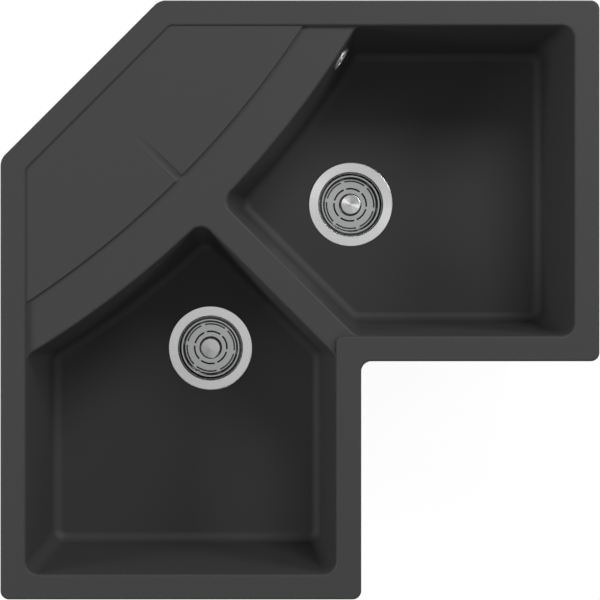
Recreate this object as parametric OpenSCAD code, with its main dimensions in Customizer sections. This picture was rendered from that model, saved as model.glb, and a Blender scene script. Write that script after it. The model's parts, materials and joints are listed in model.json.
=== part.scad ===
// Corner kitchen sink: an L-shaped composite casting with two bowls, a corner drainer and
// a lowered band, with its two basket wastes, its overflow and the clips that hold it down.
// +Z is up, and z = 0 is the top of the worktop. +Y points at the upper edge of the square
// that the sink fills and +X at its right edge. The cut corner faces -X +Y, the room's own
// corner, and the notch faces +X -Y, the person at the sink. The origin is the square's centre.

/* [Outline] */
// Length of each of the two sides that meet in the room's corner
overall = 830; // [780:1:900]
// Length that the cut corner takes off each side
chamfer_leg = 220; // [180:1:250]
// Depth of each arm, from the wall side to the notch side
arm_depth = 500; // [480:1:520]
// Radius of the four square outer corners, in plan
outer_corner_r = 12; // [8:1:24]
// Radius of the two blunt outer corners of the chamfer
chamfer_corner_r = 20; // [8:1:30]
// Radius of the notch's inner corner
notch_corner_r = 14; // [8:1:24]

/* [Rim] */
// Width of the raised rim, all round
rim_w = 33.5; // [31:0.5:40]
// Thickness of the rim where it lies on the worktop
rim_t = 9; // [8:0.5:12]
// Radius on the rim's outer top edge
rim_edge_r = 4; // [2:0.5:6]
// Corner radius of the recess inside the rim
recess_corner_r = 18; // [14:1:24]
// Corner radius of the recess at the notch
recess_notch_r = 9; // [6:1:14]
// Corner radius of the recess at the ends of the chamfer
recess_chamfer_r = 11; // [6:1:16]

/* [Drainer and band] */
// Drop from the rim's top to the drainer
drainer_drop = 3; // [2:0.5:5]
// Drop from the rim's top to the band and the divider
band_drop = 7; // [6:0.5:12]
// Thickness of the deck at the band
deck_t = 10; // [9:0.5:14]
// Radius of the curved step between drainer and band
step_arc_r = 1349; // [1300:1:1400]
// Distance from the room's corner to that step, along the diagonal
step_from_corner = 349.3; // [342:0.1:357]
// Length of the drain groove, from the step back along the diagonal
groove_l = 120; // [60:1:140]
// Width of the drain groove at its mouth
groove_mouth_w = 14; // [8:0.5:18]
// Width of the drain groove where it starts
groove_start_w = 5; // [3:0.5:8]

/* [Bowls] */
// Depth from the rim's top to the bowl's floor
bowl_depth = 200; // [170:1:205]
// Thickness of the bowl's walls
wall_t = 9; // [8:0.5:12]
// Thickness of the bowl's floor
floor_t = 9; // [8:0.5:14]
// How far each wall leans in, between the band's level and the floor
draft_in = 15; // [10:0.5:20]
// Radius where the walls meet the floor
floor_fillet_r = 15; // [12:0.5:17]
// Radius on the bowl's edge towards band and divider
mouth_r = 4; // [2:0.5:6]
// Half the divider's width, between the bowls' edges
divider_half = 20; // [18:0.5:26]
// Radius of the curved edge between band and bowls
mouth_arc_r = 1343; // [1300:1:1400]
// Distance from the room's corner to that edge, along the diagonal
mouth_from_corner = 413.2; // [407:0.1:422]
// Distance of the right waste from the curved edge, along the diagonal
right_waste_in = 132; // [120:0.5:160]
// Distance of the right waste from the diagonal
right_waste_off = 154.9; // [140:0.1:200]
// Distance of the left waste from the curved edge, along the diagonal
left_waste_in = 135.5; // [120:0.5:160]
// Distance of the left waste from the diagonal
left_waste_off = 145.7; // [140:0.1:200]

/* [Strainer cups] */
// Width of the cup's flange
flange_w = 16; // [14:0.5:18]
// Thickness of the cup's flange
flange_t = 1.5; // [1:0.1:2]
// Clearance between the basket's rim and the cup
basket_play = 3.1; // [2:0.1:4]
// Thickness of the cup's wall and bottom
cup_wall = 1.2; // [0.8:0.1:1.5]
// Height of the cup, from the flange's top to its underside
cup_h = 28.2; // [26:0.1:34]
// Radius of each drain opening in the cup's bottom
drain_r = 6.5; // [5:0.1:7]
// Radius of the circle that the drain openings lie on
drain_circle_r = 18; // [17:0.1:19]
// Number of drain openings
drain_count = 6; // [5:1:6]
// Radius of the cup's clamping screw
screw_r = 3.9; // [3.5:0.1:4.2]
// Radius of the clamping screw's head
screw_head_r = 8; // [7:0.1:8.5]
// Height of the clamping screw's head
screw_head_h = 2.8; // [2:0.1:3]

/* [Baskets] */
// Width of the basket's rim
basket_rim_w = 1.8; // [1.4:0.1:3]
// How far the basket's wall leans out between its bottom and its rim
basket_lean = 3.4; // [2:0.1:5]
// Height of the basket, from its rim's top to its underside
basket_h = 15.5; // [13:0.1:17]
// Thickness of the basket's sheet
basket_wall = 1; // [0.8:0.1:1.2]
// Radius of the outer ring of slots
outer_slots_r = 35.6; // [33:0.1:38]
// Radius of the inner ring of slots
inner_slots_r = 24.3; // [22:0.1:27]
// Width of each slot
slot_w = 2.4; // [1.5:0.1:3]
// Number of slots in each ring
slot_count = 6; // [4:1:8]
// Angle that the bridge between two slots takes
slot_bridge_deg = 9; // [6:1:15]
// Direction of one of those bridges, from +X
bridge_at_deg = 49; // [0:1:60]
// Radius of the knob's head
knob_r = 15; // [13:0.1:16]
// Radius of the knob's foot
knob_foot_r = 17; // [16:0.1:19]
// Radius of the knob's stem
knob_stem_r = 4; // [3.5:0.1:5]
// Radius of the rubber stopper
stopper_r = 30; // [28:0.1:32]
// Thickness of the rubber stopper
stopper_h = 6; // [5.5:0.1:6.5]

/* [Waste bodies] */
// Thickness of the seal between the cup's flange and the bowl
cup_seal_t = 1.5; // [1:0.1:2]
// Thickness of the seal under the bowl
outlet_seal_t = 3; // [2:0.1:4]
// Clearance of the waste body round the cup
waste_play = 2.5; // [2:0.1:4]
// Width of the waste body's flange
waste_flange_w = 10; // [8:0.5:12]
// Wall of the waste body
waste_wall = 3.4; // [3:0.1:5]
// Radius of the outlet pipe, for a G 1 1/2 union nut
outlet_r = 23.9; // [23:0.1:25]
// Length of the outlet pipe below the cone
outlet_l = 33; // [28:1:45]
// Radius of the hub that holds the brass insert
hub_r = 9; // [8.5:0.1:11]

/* [Overflow] */
// Direction of the overflow from the centre of the curved edge
overflow_deg = -32.9; // [-36:0.1:-32.5]
// Depth of the overflow below the rim's top
overflow_depth = 58; // [50:1:70]
// Radius of the overflow's cover
overflow_cover_r = 17.3; // [15:0.1:20]
// Radius of the overflow's hole through the wall
overflow_hole_r = 12; // [10:0.1:14]
// Outer radius of the overflow hose
hose_r = 12.5; // [11:0.1:13]
// Bore radius of the overflow hose
hose_bore_r = 9.5; // [8:0.1:10]
// Radius of the bend in the hose, at its axis
hose_bend_r = 45; // [40:1:60]
// Distance from one rib of the hose to the next
rib_pitch = 4.2; // [3.5:0.1:6]

/* [Fixings] */
// Thickness of the worktop that the clips are set for
worktop_t = 30; // [28:1:42]
// Overlap of the rim on the worktop
cutout_in = 10; // [8:0.5:12]
// Distance of the clip's screw from the rim's outer edge
fixing_in = 20.5; // [19.5:0.5:21]
// Outer radius of each fixing lug
lug_r = 7; // [6:0.1:7.5]
// Width of each clip
clip_w = 12; // [8:0.5:12]
// Thickness of each clip
clip_t = 2.5; // [2:0.1:3]
// How far each clip reaches under the worktop
clip_grip = 6; // [4:0.5:8]
// Height of the clip's turned-up lip
clip_lip_h = 6; // [4:0.5:8]
// Place of the far lug on the wall side
far_lug_at = 250; // [200:1:300]
// Place of the lug at the drainer
drainer_lug_at = -60; // [-100:1:0]
// Place of the lug on the arm's end
end_lug_at = 165; // [100:1:250]

/* [Hidden] */
// The smallest piece of cutting overrun, shared by all cuts
over = 1;
// Clearance where one piece slides past or seats round another
gap = 0.3;
// Clearance of a screw or pin in its own hole
pin_gap = 0.1;
// Steps in each rounded corner of an outline
corner_steps = 6;
// Steps along the curved edge of a bowl
arc_steps = 18;
// Steps in each fillet
fillet_steps = 4;
// Fineness of round pieces
$fn = 64;

// The strip under the rim: thickness, width and distance in from the rim's outer edge
seal_t = 1;
seal_w = 5;
seal_in = 2.5;
// The tap hole, bored from below: its radius, the skin left over it and its place behind the step
tap_hole_r = 17.5;
tap_hole_skin = 4;
tap_hole_behind_step = 34;
// The cup's rounded throat and bottom edge, and its clearance in the bowl's hole
throat_r = 2.5;
cup_lead_r = 1;
cup_hole_play = 1;
// The basket's turned-down bead, and how far rim and knob lie below the flange's top
bead_h = 2;
rim_below_flange = 1.5;
knob_below_flange = 1;
// The knob's head, foot and waist, and the cone on its top
knob_head_h = 6;
knob_foot_h = 3;
knob_waist_r = 8;
knob_cone_h = 1.2;
// Depth of the knob's stem in the stopper, and the stopper's room over the screw's head
stem_in_stopper = 1.5;
head_room = 1.2;
// The spring catch in the stopper: thickness, height and the width of its split
catch_t = 1;
catch_h = 2.6;
catch_slot_w = 3;
// The waste body: flange, bored part, cone, and the seal's clearance round the bore
waste_flange_t = 5;
waste_bore_h = 18;
waste_cone_h = 32;
seal_bore_play = 0.5;
// The hub under the cup and its spokes
hub_h = 18;
spoke_w = 4;
spoke_h = 12;
spoke_below_top = 3;
spoke_count = 3;
// The brass nut in the hub, and how far the screw stands out below it
nut_h = 8;
nut_r = 6.4;
thread_stickout = 4;
// The side port of the right waste body: depth below the bowl's floor, radius and length
port_drop = 42;
port_r = 12.5;
port_l = 20;
// The overflow's cover: sheet, turned rim and slots
cover_t = 1.2;
cover_rim_w = 2.5;
cover_rim_h = 2.2;
cover_slot_r = 9.5;
cover_slot_w = 3;
cover_slot_count = 6;
cover_bridge_deg = 16;
// The cover's screw
cover_screw_r = 2.5;
cover_screw_head_r = 4.6;
cover_screw_head_h = 1.8;
cover_screw_l = 30;
// The overflow's head behind the wall, its seal and the pipe down from it
overflow_seal_t = 3;
overflow_seal_play = 1;
overflow_head_r = 20;
overflow_head_wall = 3;
overflow_axis_back = 26;
overflow_head_l = 27;
overflow_post_r = 5;
overflow_pipe_drop = 44;
// The cap nuts at the hose's ends, with their grips
hose_nut_r = 17;
hose_nut_h = 16;
hose_nut_bore_r = 14;
hose_nut_in = 7;
hose_nut_lip_t = 3;
hose_nut_grips = 12;
grip_r = 1.2;
// The hose's ribs and sides
rib_depth = 1.6;
hose_sides = 8;
// The bore in each fixing lug, the dowel in it and the screw in that
lug_bore_r = 4.1;
dowel_r = 4;
dowel_l = 26;
dowel_below_bore = 1;
dowel_bore_r = 2.1;
fixing_screw_r = 2;
fixing_screw_l = 28;
fixing_head_r = 4.5;
fixing_head_h = 3.2;
// Thickness of the clip's lip, and the screws' six-sided key holes
clip_lip_t = 3;
hex_key_r = 2.3;
hex_key_depth = 1.8;

half = overall / 2;
notch_at = arm_depth - half;
inner_at = half - rim_w;
inner_notch_at = notch_at - rim_w;
rim_bottom = seal_t;
rim_top = rim_bottom + rim_t;
drainer_z = rim_top - drainer_drop;
band_z = rim_top - band_drop;
deck_bottom = band_z - deck_t;
floor_z = rim_top - bowl_depth;
floor_bottom = floor_z - floor_t;
wall_slope = draft_in / (band_z - floor_z);
draft_deg = atan(wall_slope);
corner_at = half * sqrt(2);
step_arc_at = corner_at - step_from_corner;
mouth_arc_at = corner_at - mouth_from_corner;
left_waste = along(mouth_arc_at - left_waste_in, -left_waste_off);
right_waste = along(mouth_arc_at - right_waste_in, right_waste_off);
step_centre = along(step_arc_at + step_arc_r, 0);
mouth_centre = along(mouth_arc_at + mouth_arc_r, 0);
rebate_depth = cup_seal_t + flange_t;
basket_low_r = outer_slots_r + slot_w;
basket_top_r = basket_low_r + basket_lean;
basket_r = basket_top_r + basket_rim_w;
cup_r = basket_r + basket_play + cup_wall;
flange_r = cup_r + flange_w;
waste_hole_r = cup_r + cup_hole_play;
waste_bore_r = cup_r + waste_play;
waste_flange_r = waste_bore_r + waste_flange_w;
seal_inner_r = waste_bore_r + seal_bore_play;
port_end_r = waste_bore_r + port_l;
clip_reach = fixing_in - cutout_in + clip_grip;
waste_top = -floor_t - outlet_seal_t;
cone_top = waste_top - waste_bore_h;
outlet_top = cone_top - waste_cone_h;
outlet_bottom = outlet_top - outlet_l;
cup_floor = cup_wall - cup_h;
basket_bottom = -rim_below_flange - basket_h;
stopper_top = cup_floor + stopper_h;
hub_bottom = -cup_h - hub_h;
overflow_z = rim_top - overflow_depth;
overflow_wall_r = mouth_arc_r + wall_slope * (band_z - overflow_z);
overflow_axis_r = overflow_wall_r - overflow_axis_back * cos(draft_deg);
overflow_axis = mouth_centre + overflow_axis_r * [cos(overflow_deg), sin(overflow_deg)];
hose_top = overflow_z - overflow_pipe_drop;
hose_to_waste = right_waste - overflow_axis;
hose_span = norm(hose_to_waste);
hose_turn = atan2(hose_to_waste[1], hose_to_waste[0]);
hose_bottom = floor_z - port_drop;
hose_drop_l = hose_top - hose_bottom - hose_bend_r;
hose_bend_l = hose_bend_r * PI / 2;
hose_run_l = hose_span - hose_bend_r - port_end_r;
hose_l = hose_drop_l + hose_bend_l + hose_run_l;
strap_top = -worktop_t - clip_lip_h;
lug_places = [
    [[drainer_lug_at, half - fixing_in], 90],
    [[far_lug_at, half - fixing_in], 90],
    [[half - fixing_in, end_lug_at], 0],
    [[far_lug_at, fixing_in - notch_at], -90]
];

// A place on the diagonal frame: u towards the room's corner, v across it to the right bowl
function along(u, v) = [(v - u) / sqrt(2), (u + v) / sqrt(2)];

function unit(v) = v / norm(v);

function arc_points(centre, r, from, to, steps) =
    [for (i = [0:steps]) let (a = from + (to - from) * i / steps) centre + r * [cos(a), sin(a)]];

// The rounded corner at b, between the edges from a and to c
function corner(a, b, c, r) =
    let (
        back = unit(a - b),
        on = unit(c - b),
        half_angle = acos(back * on) / 2,
        centre = b + unit(back + on) * r / sin(half_angle),
        p = b + back * r / tan(half_angle) - centre,
        q = b + on * r / tan(half_angle) - centre,
        from = atan2(p[1], p[0]),
        sweep = (atan2(q[1], q[0]) - from + 540) % 360 - 180
    )
    arc_points(centre, r, from, from + sweep, corner_steps);

function rounded(points, radii) =
    let (n = len(points))
    [for (i = [0:n - 1]) each corner(points[(i + n - 1) % n], points[i], points[(i + 1) % n], radii[i])];

// The sink's plan outline, moved in by d from the outer edge
function plan_points(d) =
    let (e = half - d, n = notch_at - d, c = half - chamfer_leg - d * (sqrt(2) - 1))
    [[-e, -e], [n, -e], [n, -n], [e, -n], [e, e], [-c, e], [-e, c]];

function outer_outline(d) =
    let (s = outer_corner_r - d, c = chamfer_corner_r - d)
    rounded(plan_points(d), [s, s, notch_corner_r + d, s, s, c, c]);

// The recess's outline, grown by d past the rim's inner edge
function recess_outline(d) =
    let (s = recess_corner_r + d, c = recess_chamfer_r + d)
    rounded(plan_points(rim_w - d), [s, s, recess_notch_r - d, s, s, c, c]);

// The right bowl's outline: rim sides moved in by d_rim, curved side and divider by d_band
function bowl_outline(d_rim, d_band, r) =
    let (
        e = inner_at - d_rim - r,
        low = d_rim + r - inner_notch_at,
        v = divider_half + d_band + r,
        big = mouth_arc_r + d_band,
        reach = big + r,
        top_x = mouth_centre[0] + sqrt(reach * reach - (e - mouth_centre[1]) * (e - mouth_centre[1])),
        top_corner = [top_x, e],
        inner_corner = along(mouth_arc_at + mouth_arc_r - sqrt(reach * reach - v * v), v),
        low_corner = along(sqrt(2) * low - v, v),
        top_in = mouth_centre - top_corner,
        inner_in = mouth_centre - inner_corner,
        top_angle = atan2(top_in[1], top_in[0]),
        inner_angle = atan2(inner_in[1], inner_in[0])
    )
    concat(
        arc_points([e, low], r, -90, 0, corner_steps),
        arc_points([e, e], r, 0, 90, corner_steps),
        arc_points(top_corner, r, 90, top_angle, corner_steps),
        [
            for (i = [1:arc_steps - 1])
                let (a = top_angle - 180 + (inner_angle - top_angle) * i / arc_steps)
                mouth_centre + big * [cos(a), sin(a)]
        ],
        arc_points(inner_corner, r, inner_angle, 225, corner_steps),
        arc_points(low_corner, r, 225, 270, corner_steps)
    );

function lifted(points, z) = [for (p = points) [p[0], p[1], z]];

function leaning(z) = wall_slope * (band_z - z);

// The rings of a bowl's inside, from its floor up to just above the band
function cavity_rings() =
    concat(
        [
            for (i = [fillet_steps:-1:0])
                let (a = 90 * i / fillet_steps, in = floor_fillet_r * (1 - cos(a)))
                let (z = floor_z + floor_fillet_r * (1 - sin(a)), d = leaning(floor_z + floor_fillet_r) + in)
                lifted(bowl_outline(d, d, recess_corner_r - in), z)
        ],
        [
            for (i = [fillet_steps:-1:0])
                let (a = 90 * i / fillet_steps, z = band_z - mouth_r * (1 - cos(a)))
                lifted(bowl_outline(leaning(z), leaning(z) - mouth_r * (1 - sin(a)), recess_corner_r), z)
        ],
        [lifted(bowl_outline(0, -mouth_r, recess_corner_r), band_z + over)]
    );

// The rings of a bowl's outside, from its underside up into the deck
function shell_rings() =
    let (
        round_r = floor_fillet_r + floor_t,
        straight_z = floor_bottom + round_r,
        shell_top = band_z - deck_t / 2
    )
    concat(
        [
            for (i = [fillet_steps:-1:0])
                let (a = 90 * i / fillet_steps, in = round_r * (1 - cos(a)))
                let (z = floor_bottom + round_r * (1 - sin(a)), d = leaning(straight_z) - wall_t + in)
                lifted(bowl_outline(d, d, recess_corner_r + wall_t - in), z)
        ],
        [
            let (d = leaning(shell_top) - wall_t)
            lifted(bowl_outline(d, d, recess_corner_r + wall_t), shell_top)
        ]
    );

function rim_rings() =
    concat(
        [lifted(outer_outline(0), rim_bottom)],
        [
            for (i = [0:fillet_steps])
                let (a = 90 * i / fillet_steps)
                lifted(outer_outline(rim_edge_r * (1 - cos(a))), rim_top - rim_edge_r * (1 - sin(a)))
        ]
    );

// A closed solid through rings of points that run the same way, lowest first
module loft(rings, centre) {
    n = len(rings[0]);
    last = len(rings) - 1;
    low = n * len(rings);
    points = concat(
        [for (ring = rings) each ring],
        [[centre[0], centre[1], rings[0][0][2]], [centre[0], centre[1], rings[last][0][2]]]
    );
    sides = [
        for (j = [0:last - 1], i = [0:n - 1])
            let (a = j * n + i, b = j * n + (i + 1) % n)
            each [[a, a + n, b + n], [a, b + n, b]]
    ];
    caps = [
        for (i = [0:n - 1])
            let (k = (i + 1) % n)
            each [[low, i, k], [low + 1, last * n + k, last * n + i]]
    ];
    polyhedron(points = points, faces = concat(sides, caps));
}

// Everything it holds, once on the right and once in the diagonal's mirror image
module both_sides() {
    children();
    mirror([1, 1, 0]) children();
}

module at_waste(place) {
    translate([place[0], place[1], floor_z]) children();
}

// The overflow's own frame: z = 0 on the wall's inner face, +Z into the bowl
module at_overflow() {
    translate([mouth_centre[0], mouth_centre[1], overflow_z])
        rotate([0, 0, overflow_deg])
            translate([overflow_wall_r, 0, 0])
                rotate([0, 90 - draft_deg, 0])
                    children();
}

// A ring with square edges, standing on z
module ring(outer, inner, z, h) {
    translate([0, 0, z])
        difference() {
            cylinder(r = outer, h = h);
            translate([0, 0, -over]) cylinder(r = inner, h = h + 2 * over);
        }
}

// Curved slots round the axis, cut between z and z + h
module slots(r, w, z, h, count, bridge) {
    for (i = [0:count - 1])
        rotate([0, 0, i * 360 / count + bridge / 2])
            translate([0, 0, z])
                rotate_extrude(angle = 360 / count - bridge)
                    translate([r - w / 2, 0]) square([w, h]);
}

module step_block() {
    block_h = band_drop + over;
    translate([step_centre[0], step_centre[1], drainer_z - block_h])
        cylinder(r = step_arc_r, h = block_h);
}

module recess() {
    depth = rim_top - band_z + over;
    difference() {
        translate([0, 0, band_z]) linear_extrude(height = depth) polygon(recess_outline(0));
        step_block();
    }
}

// The gutter that drains the drainer: a wedge that deepens and widens to the band's level
module drain_groove() {
    start = step_arc_at + groove_l;
    function station(u, w, z) = [for (s = [-1, 1]) let (p = along(u, s * w / 2)) [p[0], p[1], z]];
    hull_points = concat(
        station(start, groove_start_w, drainer_z),
        station(step_arc_at - over, groove_mouth_w, band_z),
        station(start, groove_start_w, drainer_z + over),
        station(step_arc_at - over, groove_mouth_w, drainer_z + over)
    );
    polyhedron(
        points = hull_points,
        faces = [
            [0, 2, 3], [0, 3, 1], [4, 5, 7], [4, 7, 6], [0, 1, 5], [0, 5, 4],
            [2, 6, 7], [2, 7, 3], [0, 4, 6], [0, 6, 2], [1, 3, 7], [1, 7, 5]
        ]
    );
}

module deck() {
    translate([0, 0, deck_bottom])
        linear_extrude(height = rim_bottom + over - deck_bottom)
            polygon(recess_outline(wall_t));
}

module lugs() {
    for (lug = lug_places)
        translate([lug[0][0], lug[0][1], strap_top])
            cylinder(r = lug_r, h = rim_bottom + over - strap_top);
}

module lug_bores() {
    for (lug = lug_places)
        translate([lug[0][0], lug[0][1], strap_top - over])
            cylinder(r = lug_bore_r, h = dowel_l + over);
}

module waste_openings() {
    for (place = [left_waste, right_waste])
        at_waste(place) {
            translate([0, 0, -rebate_depth]) cylinder(r = flange_r + gap, h = rebate_depth + over);
            translate([0, 0, -floor_t - over]) cylinder(r = waste_hole_r, h = floor_t + 2 * over);
        }
}

module tap_hole() {
    place = along(step_arc_at - tap_hole_behind_step, 0);
    translate([place[0], place[1], deck_bottom - over])
        cylinder(r = tap_hole_r, h = deck_t - tap_hole_skin + over);
}

module sink_body() {
    bowl_centre = right_waste;
    rim_centre = along(2 * divider_half, 0);
    color("#454545")
        difference() {
            union() {
                loft(rim_rings(), rim_centre);
                deck();
                both_sides() loft(shell_rings(), bowl_centre);
                both_sides() lugs();
            }
            recess();
            drain_groove();
            both_sides() loft(cavity_rings(), bowl_centre);
            both_sides() lug_bores();
            waste_openings();
            tap_hole();
            at_overflow()
                translate([0, 0, -2 * wall_t])
                    cylinder(r = overflow_hole_r, h = 3 * wall_t);
        }
}

module rim_seal() {
    color("#202020")
        linear_extrude(height = seal_t)
            difference() {
                polygon(outer_outline(seal_in));
                polygon(outer_outline(seal_in + seal_w));
            }
}

module strainer_cup(place) {
    inner = cup_r - cup_wall;
    color("#c8c8c8")
        at_waste(place)
            difference() {
                rotate_extrude()
                    polygon([
                        [flange_r, -flange_t], [flange_r, -flange_t / 2], [flange_r - flange_t, 0],
                        [inner + throat_r, 0], [inner, -throat_r], [inner, cup_floor + cup_lead_r],
                        [inner - cup_lead_r, cup_floor], [0, cup_floor], [0, -cup_h],
                        [cup_r - cup_lead_r, -cup_h], [cup_r, -cup_h + cup_lead_r], [cup_r, -flange_t]
                    ]);
                for (i = [0:drain_count - 1])
                    rotate([0, 0, i * 360 / drain_count])
                        translate([drain_circle_r, 0, -cup_h - over])
                            cylinder(r = drain_r, h = cup_wall + 2 * over);
                translate([0, 0, -cup_h - over]) cylinder(r = screw_r + pin_gap, h = cup_wall + 2 * over);
            }
}

module cup_seal(place) {
    color("#262626")
        at_waste(place)
            ring(flange_r, waste_hole_r, -rebate_depth, cup_seal_t);
}

module outlet_seal(place) {
    color("#262626")
        at_waste(place)
            ring(waste_flange_r, seal_inner_r, waste_top, outlet_seal_t);
}

module waste_shell() {
    shell_r = waste_bore_r + waste_wall;
    rotate_extrude()
        polygon([
            [waste_bore_r, waste_top], [waste_flange_r, waste_top],
            [waste_flange_r, waste_top - waste_flange_t], [shell_r, waste_top - waste_flange_t],
            [shell_r, cone_top], [outlet_r, outlet_top], [outlet_r, outlet_bottom],
            [outlet_r - waste_wall, outlet_bottom], [outlet_r - waste_wall, outlet_top],
            [waste_bore_r, cone_top]
        ]);
}

// The hub under the cup, on spokes that end in the wall
module waste_hub(turn) {
    spoke_top = -cup_h - spoke_below_top;
    spoke_l = waste_bore_r + waste_wall / 2;
    difference() {
        union() {
            translate([0, 0, hub_bottom]) cylinder(r = hub_r, h = hub_h);
            for (i = [0:spoke_count - 1])
                rotate([0, 0, turn + (i + 1 / 2) * 360 / spoke_count])
                    translate([0, -spoke_w / 2, spoke_top - spoke_h])
                        intersection() {
                            cube([spoke_l, spoke_w, spoke_h]);
                            spoke_limit(spoke_top);
                        }
        }
        translate([0, 0, hub_bottom - over]) cylinder(r = screw_r + pin_gap, h = hub_h + 2 * over);
        translate([0, 0, hub_bottom - over]) cylinder(r = nut_r + pin_gap, h = nut_h + over, $fn = 6);
    }
}

// Keeps a spoke's outer end inside the cone's wall
module spoke_limit(spoke_top) {
    lean = (waste_bore_r + waste_wall - outlet_r) / waste_cone_h;
    low_r = waste_bore_r + waste_wall / 2 - lean * (cone_top - spoke_top + spoke_h);
    translate([0, spoke_w / 2, 0])
        cylinder(r1 = low_r, r2 = low_r + lean * spoke_h, h = spoke_h);
}

module waste_body(place, has_port) {
    turn = has_port ? hose_turn + 180 : 0;
    color("#2b2b2b")
        at_waste(place)
            if (has_port)
                difference() {
                    union() {
                        waste_shell();
                        rotate([0, 0, turn]) port_pipe(port_r, waste_bore_r - waste_wall);
                    }
                    rotate([0, 0, turn]) port_pipe(hose_bore_r, hub_r + over);
                }
            else
                waste_shell();
    color("#2b2b2b") at_waste(place) waste_hub(turn);
}

module port_pipe(r, from) {
    reach = port_end_r + (r < port_r ? over : 0);
    translate([from, 0, -port_drop])
        rotate([0, 90, 0]) cylinder(r = r, h = reach - from);
}

module waste_screw(place) {
    length = cup_wall + hub_h + thread_stickout;
    color("#b4b4b4")
        at_waste(place)
            difference() {
                union() {
                    translate([0, 0, cup_floor]) cylinder(r = screw_head_r, h = screw_head_h);
                    translate([0, 0, cup_floor - length]) cylinder(r = screw_r, h = length + screw_head_h / 2);
                }
                translate([0, 0, cup_floor + screw_head_h - hex_key_depth])
                    cylinder(r = screw_r, h = hex_key_depth + over, $fn = 6);
            }
}

module waste_nut(place) {
    color("#b08d3e")
        at_waste(place)
            difference() {
                translate([0, 0, hub_bottom]) cylinder(r = nut_r, h = nut_h, $fn = 6);
                translate([0, 0, hub_bottom - over])
                    cylinder(r = screw_r + pin_gap / 2, h = nut_h + 2 * over);
            }
}

module basket(place) {
    rim_top_z = -rim_below_flange;
    cut_h = basket_wall + 2 * over;
    color("#bebebe")
        at_waste(place)
            difference() {
                rotate_extrude()
                    polygon([
                        [basket_r, rim_top_z - bead_h], [basket_r, rim_top_z], [basket_top_r, rim_top_z],
                        [basket_low_r, basket_bottom + basket_wall], [0, basket_bottom + basket_wall],
                        [0, basket_bottom], [basket_low_r + basket_wall, basket_bottom],
                        [basket_top_r + basket_wall, rim_top_z - bead_h]
                    ]);
                rotate([0, 0, bridge_at_deg])
                    for (r = [outer_slots_r, inner_slots_r])
                        slots(r, slot_w, basket_bottom - over, cut_h, slot_count, slot_bridge_deg);
                translate([0, 0, basket_bottom - over])
                    cylinder(r = knob_stem_r + pin_gap / 2, h = cut_h);
            }
}

module basket_knob(place) {
    foot_z = basket_bottom + basket_wall;
    top_z = -knob_below_flange;
    color("#c4c4c4")
        at_waste(place)
            rotate_extrude()
                polygon([
                    [0, stopper_top - stem_in_stopper], [knob_stem_r, stopper_top - stem_in_stopper],
                    [knob_stem_r, foot_z], [knob_foot_r, foot_z], [knob_foot_r, foot_z + knob_foot_h / 2],
                    [knob_foot_r - knob_foot_h / 2, foot_z + knob_foot_h],
                    [knob_waist_r, foot_z + knob_foot_h], [knob_waist_r, top_z - knob_head_h],
                    [knob_r, top_z - knob_head_h / 2], [knob_r, top_z - knob_cone_h],
                    [knob_r - knob_cone_h, top_z - knob_cone_h / 2], [0, top_z]
                ]);
}

module basket_stopper(place) {
    recess_r = screw_head_r + head_room + gap;
    recess_h = screw_head_h + head_room;
    color("#262626")
        at_waste(place)
            difference() {
                translate([0, 0, cup_floor]) cylinder(r = stopper_r, h = stopper_h);
                translate([0, 0, cup_floor - over]) cylinder(r = recess_r, h = recess_h + over);
                translate([0, 0, stopper_top - stem_in_stopper])
                    cylinder(r = knob_stem_r + pin_gap / 2, h = stem_in_stopper + over);
            }
}

// The split spring ring that grips the screw's head
module basket_catch(place) {
    inner = screw_head_r + gap;
    color("#b4b4b4")
        at_waste(place)
            difference() {
                ring(inner + catch_t, inner, cup_floor + screw_head_h + head_room - catch_h, catch_h);
                translate([0, -catch_slot_w / 2, cup_floor])
                    cube([screw_head_r + catch_t + over, catch_slot_w, stopper_h]);
            }
}

module overflow_cover() {
    cut_h = cover_t + 2 * over;
    color("#c8c8c8")
        at_overflow()
            difference() {
                union() {
                    translate([0, 0, pin_gap]) cylinder(r = overflow_cover_r, h = cover_t);
                    ring(overflow_cover_r, overflow_cover_r - cover_rim_w, pin_gap, cover_rim_h);
                }
                slots(cover_slot_r, cover_slot_w, -over, cut_h, cover_slot_count, cover_bridge_deg);
                translate([0, 0, -over]) cylinder(r = cover_screw_r + pin_gap, h = cut_h);
            }
}

module overflow_screw() {
    seat = pin_gap + cover_t;
    shank_h = cover_screw_l + (cover_screw_head_h - hex_key_depth / 2) / 2;
    color("#b4b4b4")
        at_overflow()
            difference() {
                union() {
                    translate([0, 0, seat]) cylinder(r = cover_screw_head_r, h = cover_screw_head_h);
                    translate([0, 0, seat - cover_screw_l]) cylinder(r = cover_screw_r, h = shank_h);
                }
                translate([0, 0, seat + cover_screw_head_h - hex_key_depth / 2])
                    cylinder(r = hex_key_r, h = hex_key_depth, $fn = 6);
            }
}

module overflow_seal() {
    color("#262626")
        at_overflow()
            ring(
                overflow_head_r, overflow_hole_r + overflow_seal_play,
                -wall_t - overflow_seal_t, overflow_seal_t - pin_gap
            );
}

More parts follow.
